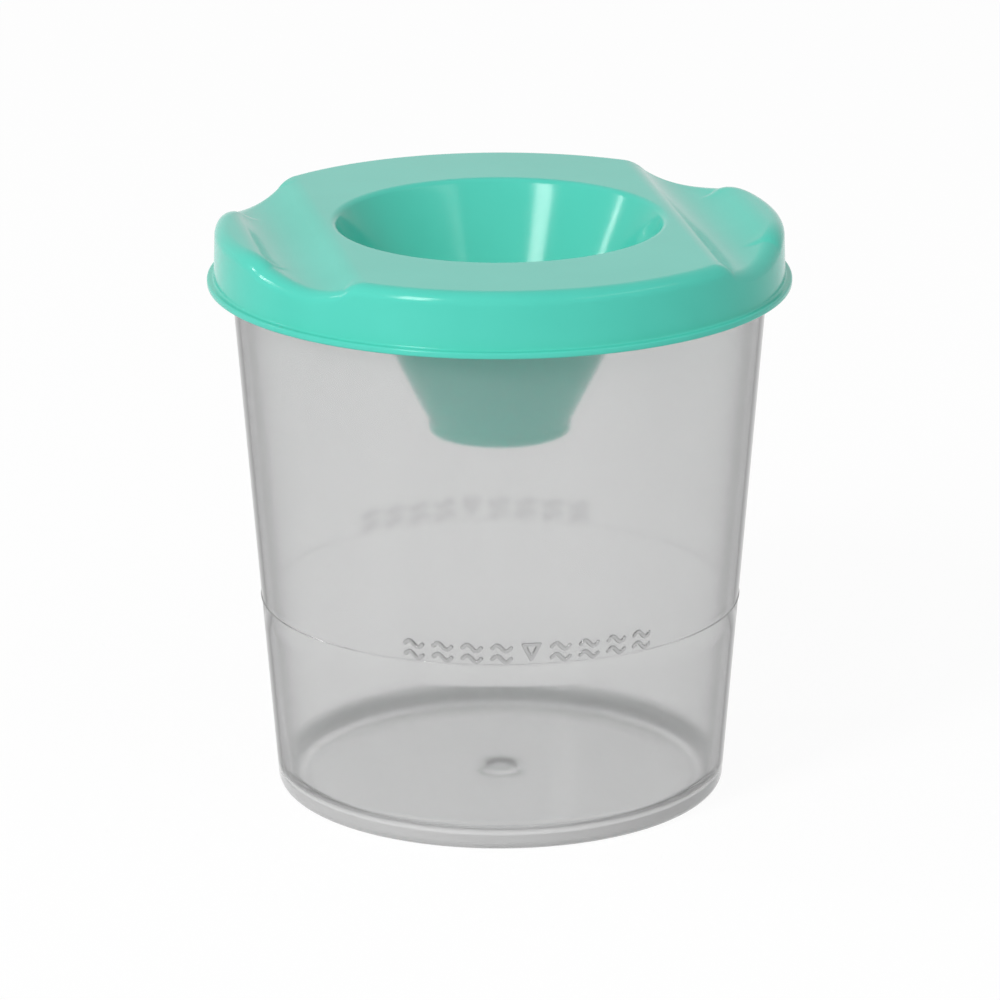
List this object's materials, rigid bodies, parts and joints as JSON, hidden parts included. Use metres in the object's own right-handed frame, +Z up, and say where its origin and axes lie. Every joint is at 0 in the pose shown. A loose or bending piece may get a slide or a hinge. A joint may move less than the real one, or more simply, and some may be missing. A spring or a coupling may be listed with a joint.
{
  "type": "brush washer",
  "caption": "Tapered translucent water cup with a lift-off lid that has a funnel well and two troughs to rest brushes in.",
  "frame": {"origin": "centre of the cup's foot, on the surface it stands on", "axes": "+Z up along the cup's axis; +Y along the lid's two brush troughs; the marks over the fill line face -Y and +Y"},
  "size_m": [0.0896, 0.0896, 0.0901],
  "materials": {
    "cup_plastic": "translucent, lightly frosted",
    "lid_plastic": "glossy mint green"
  },
  "bodies": {
    "cup": {"cup": "cup_plastic"},
    "lid": {"lid": "lid_plastic"}
  },
  "joints": [
    {"name": "lid_lift", "type": "slide", "parent": "cup", "child": "lid", "axis": [0, 0, 1], "range_m": [0, 0.06]}
  ]
}
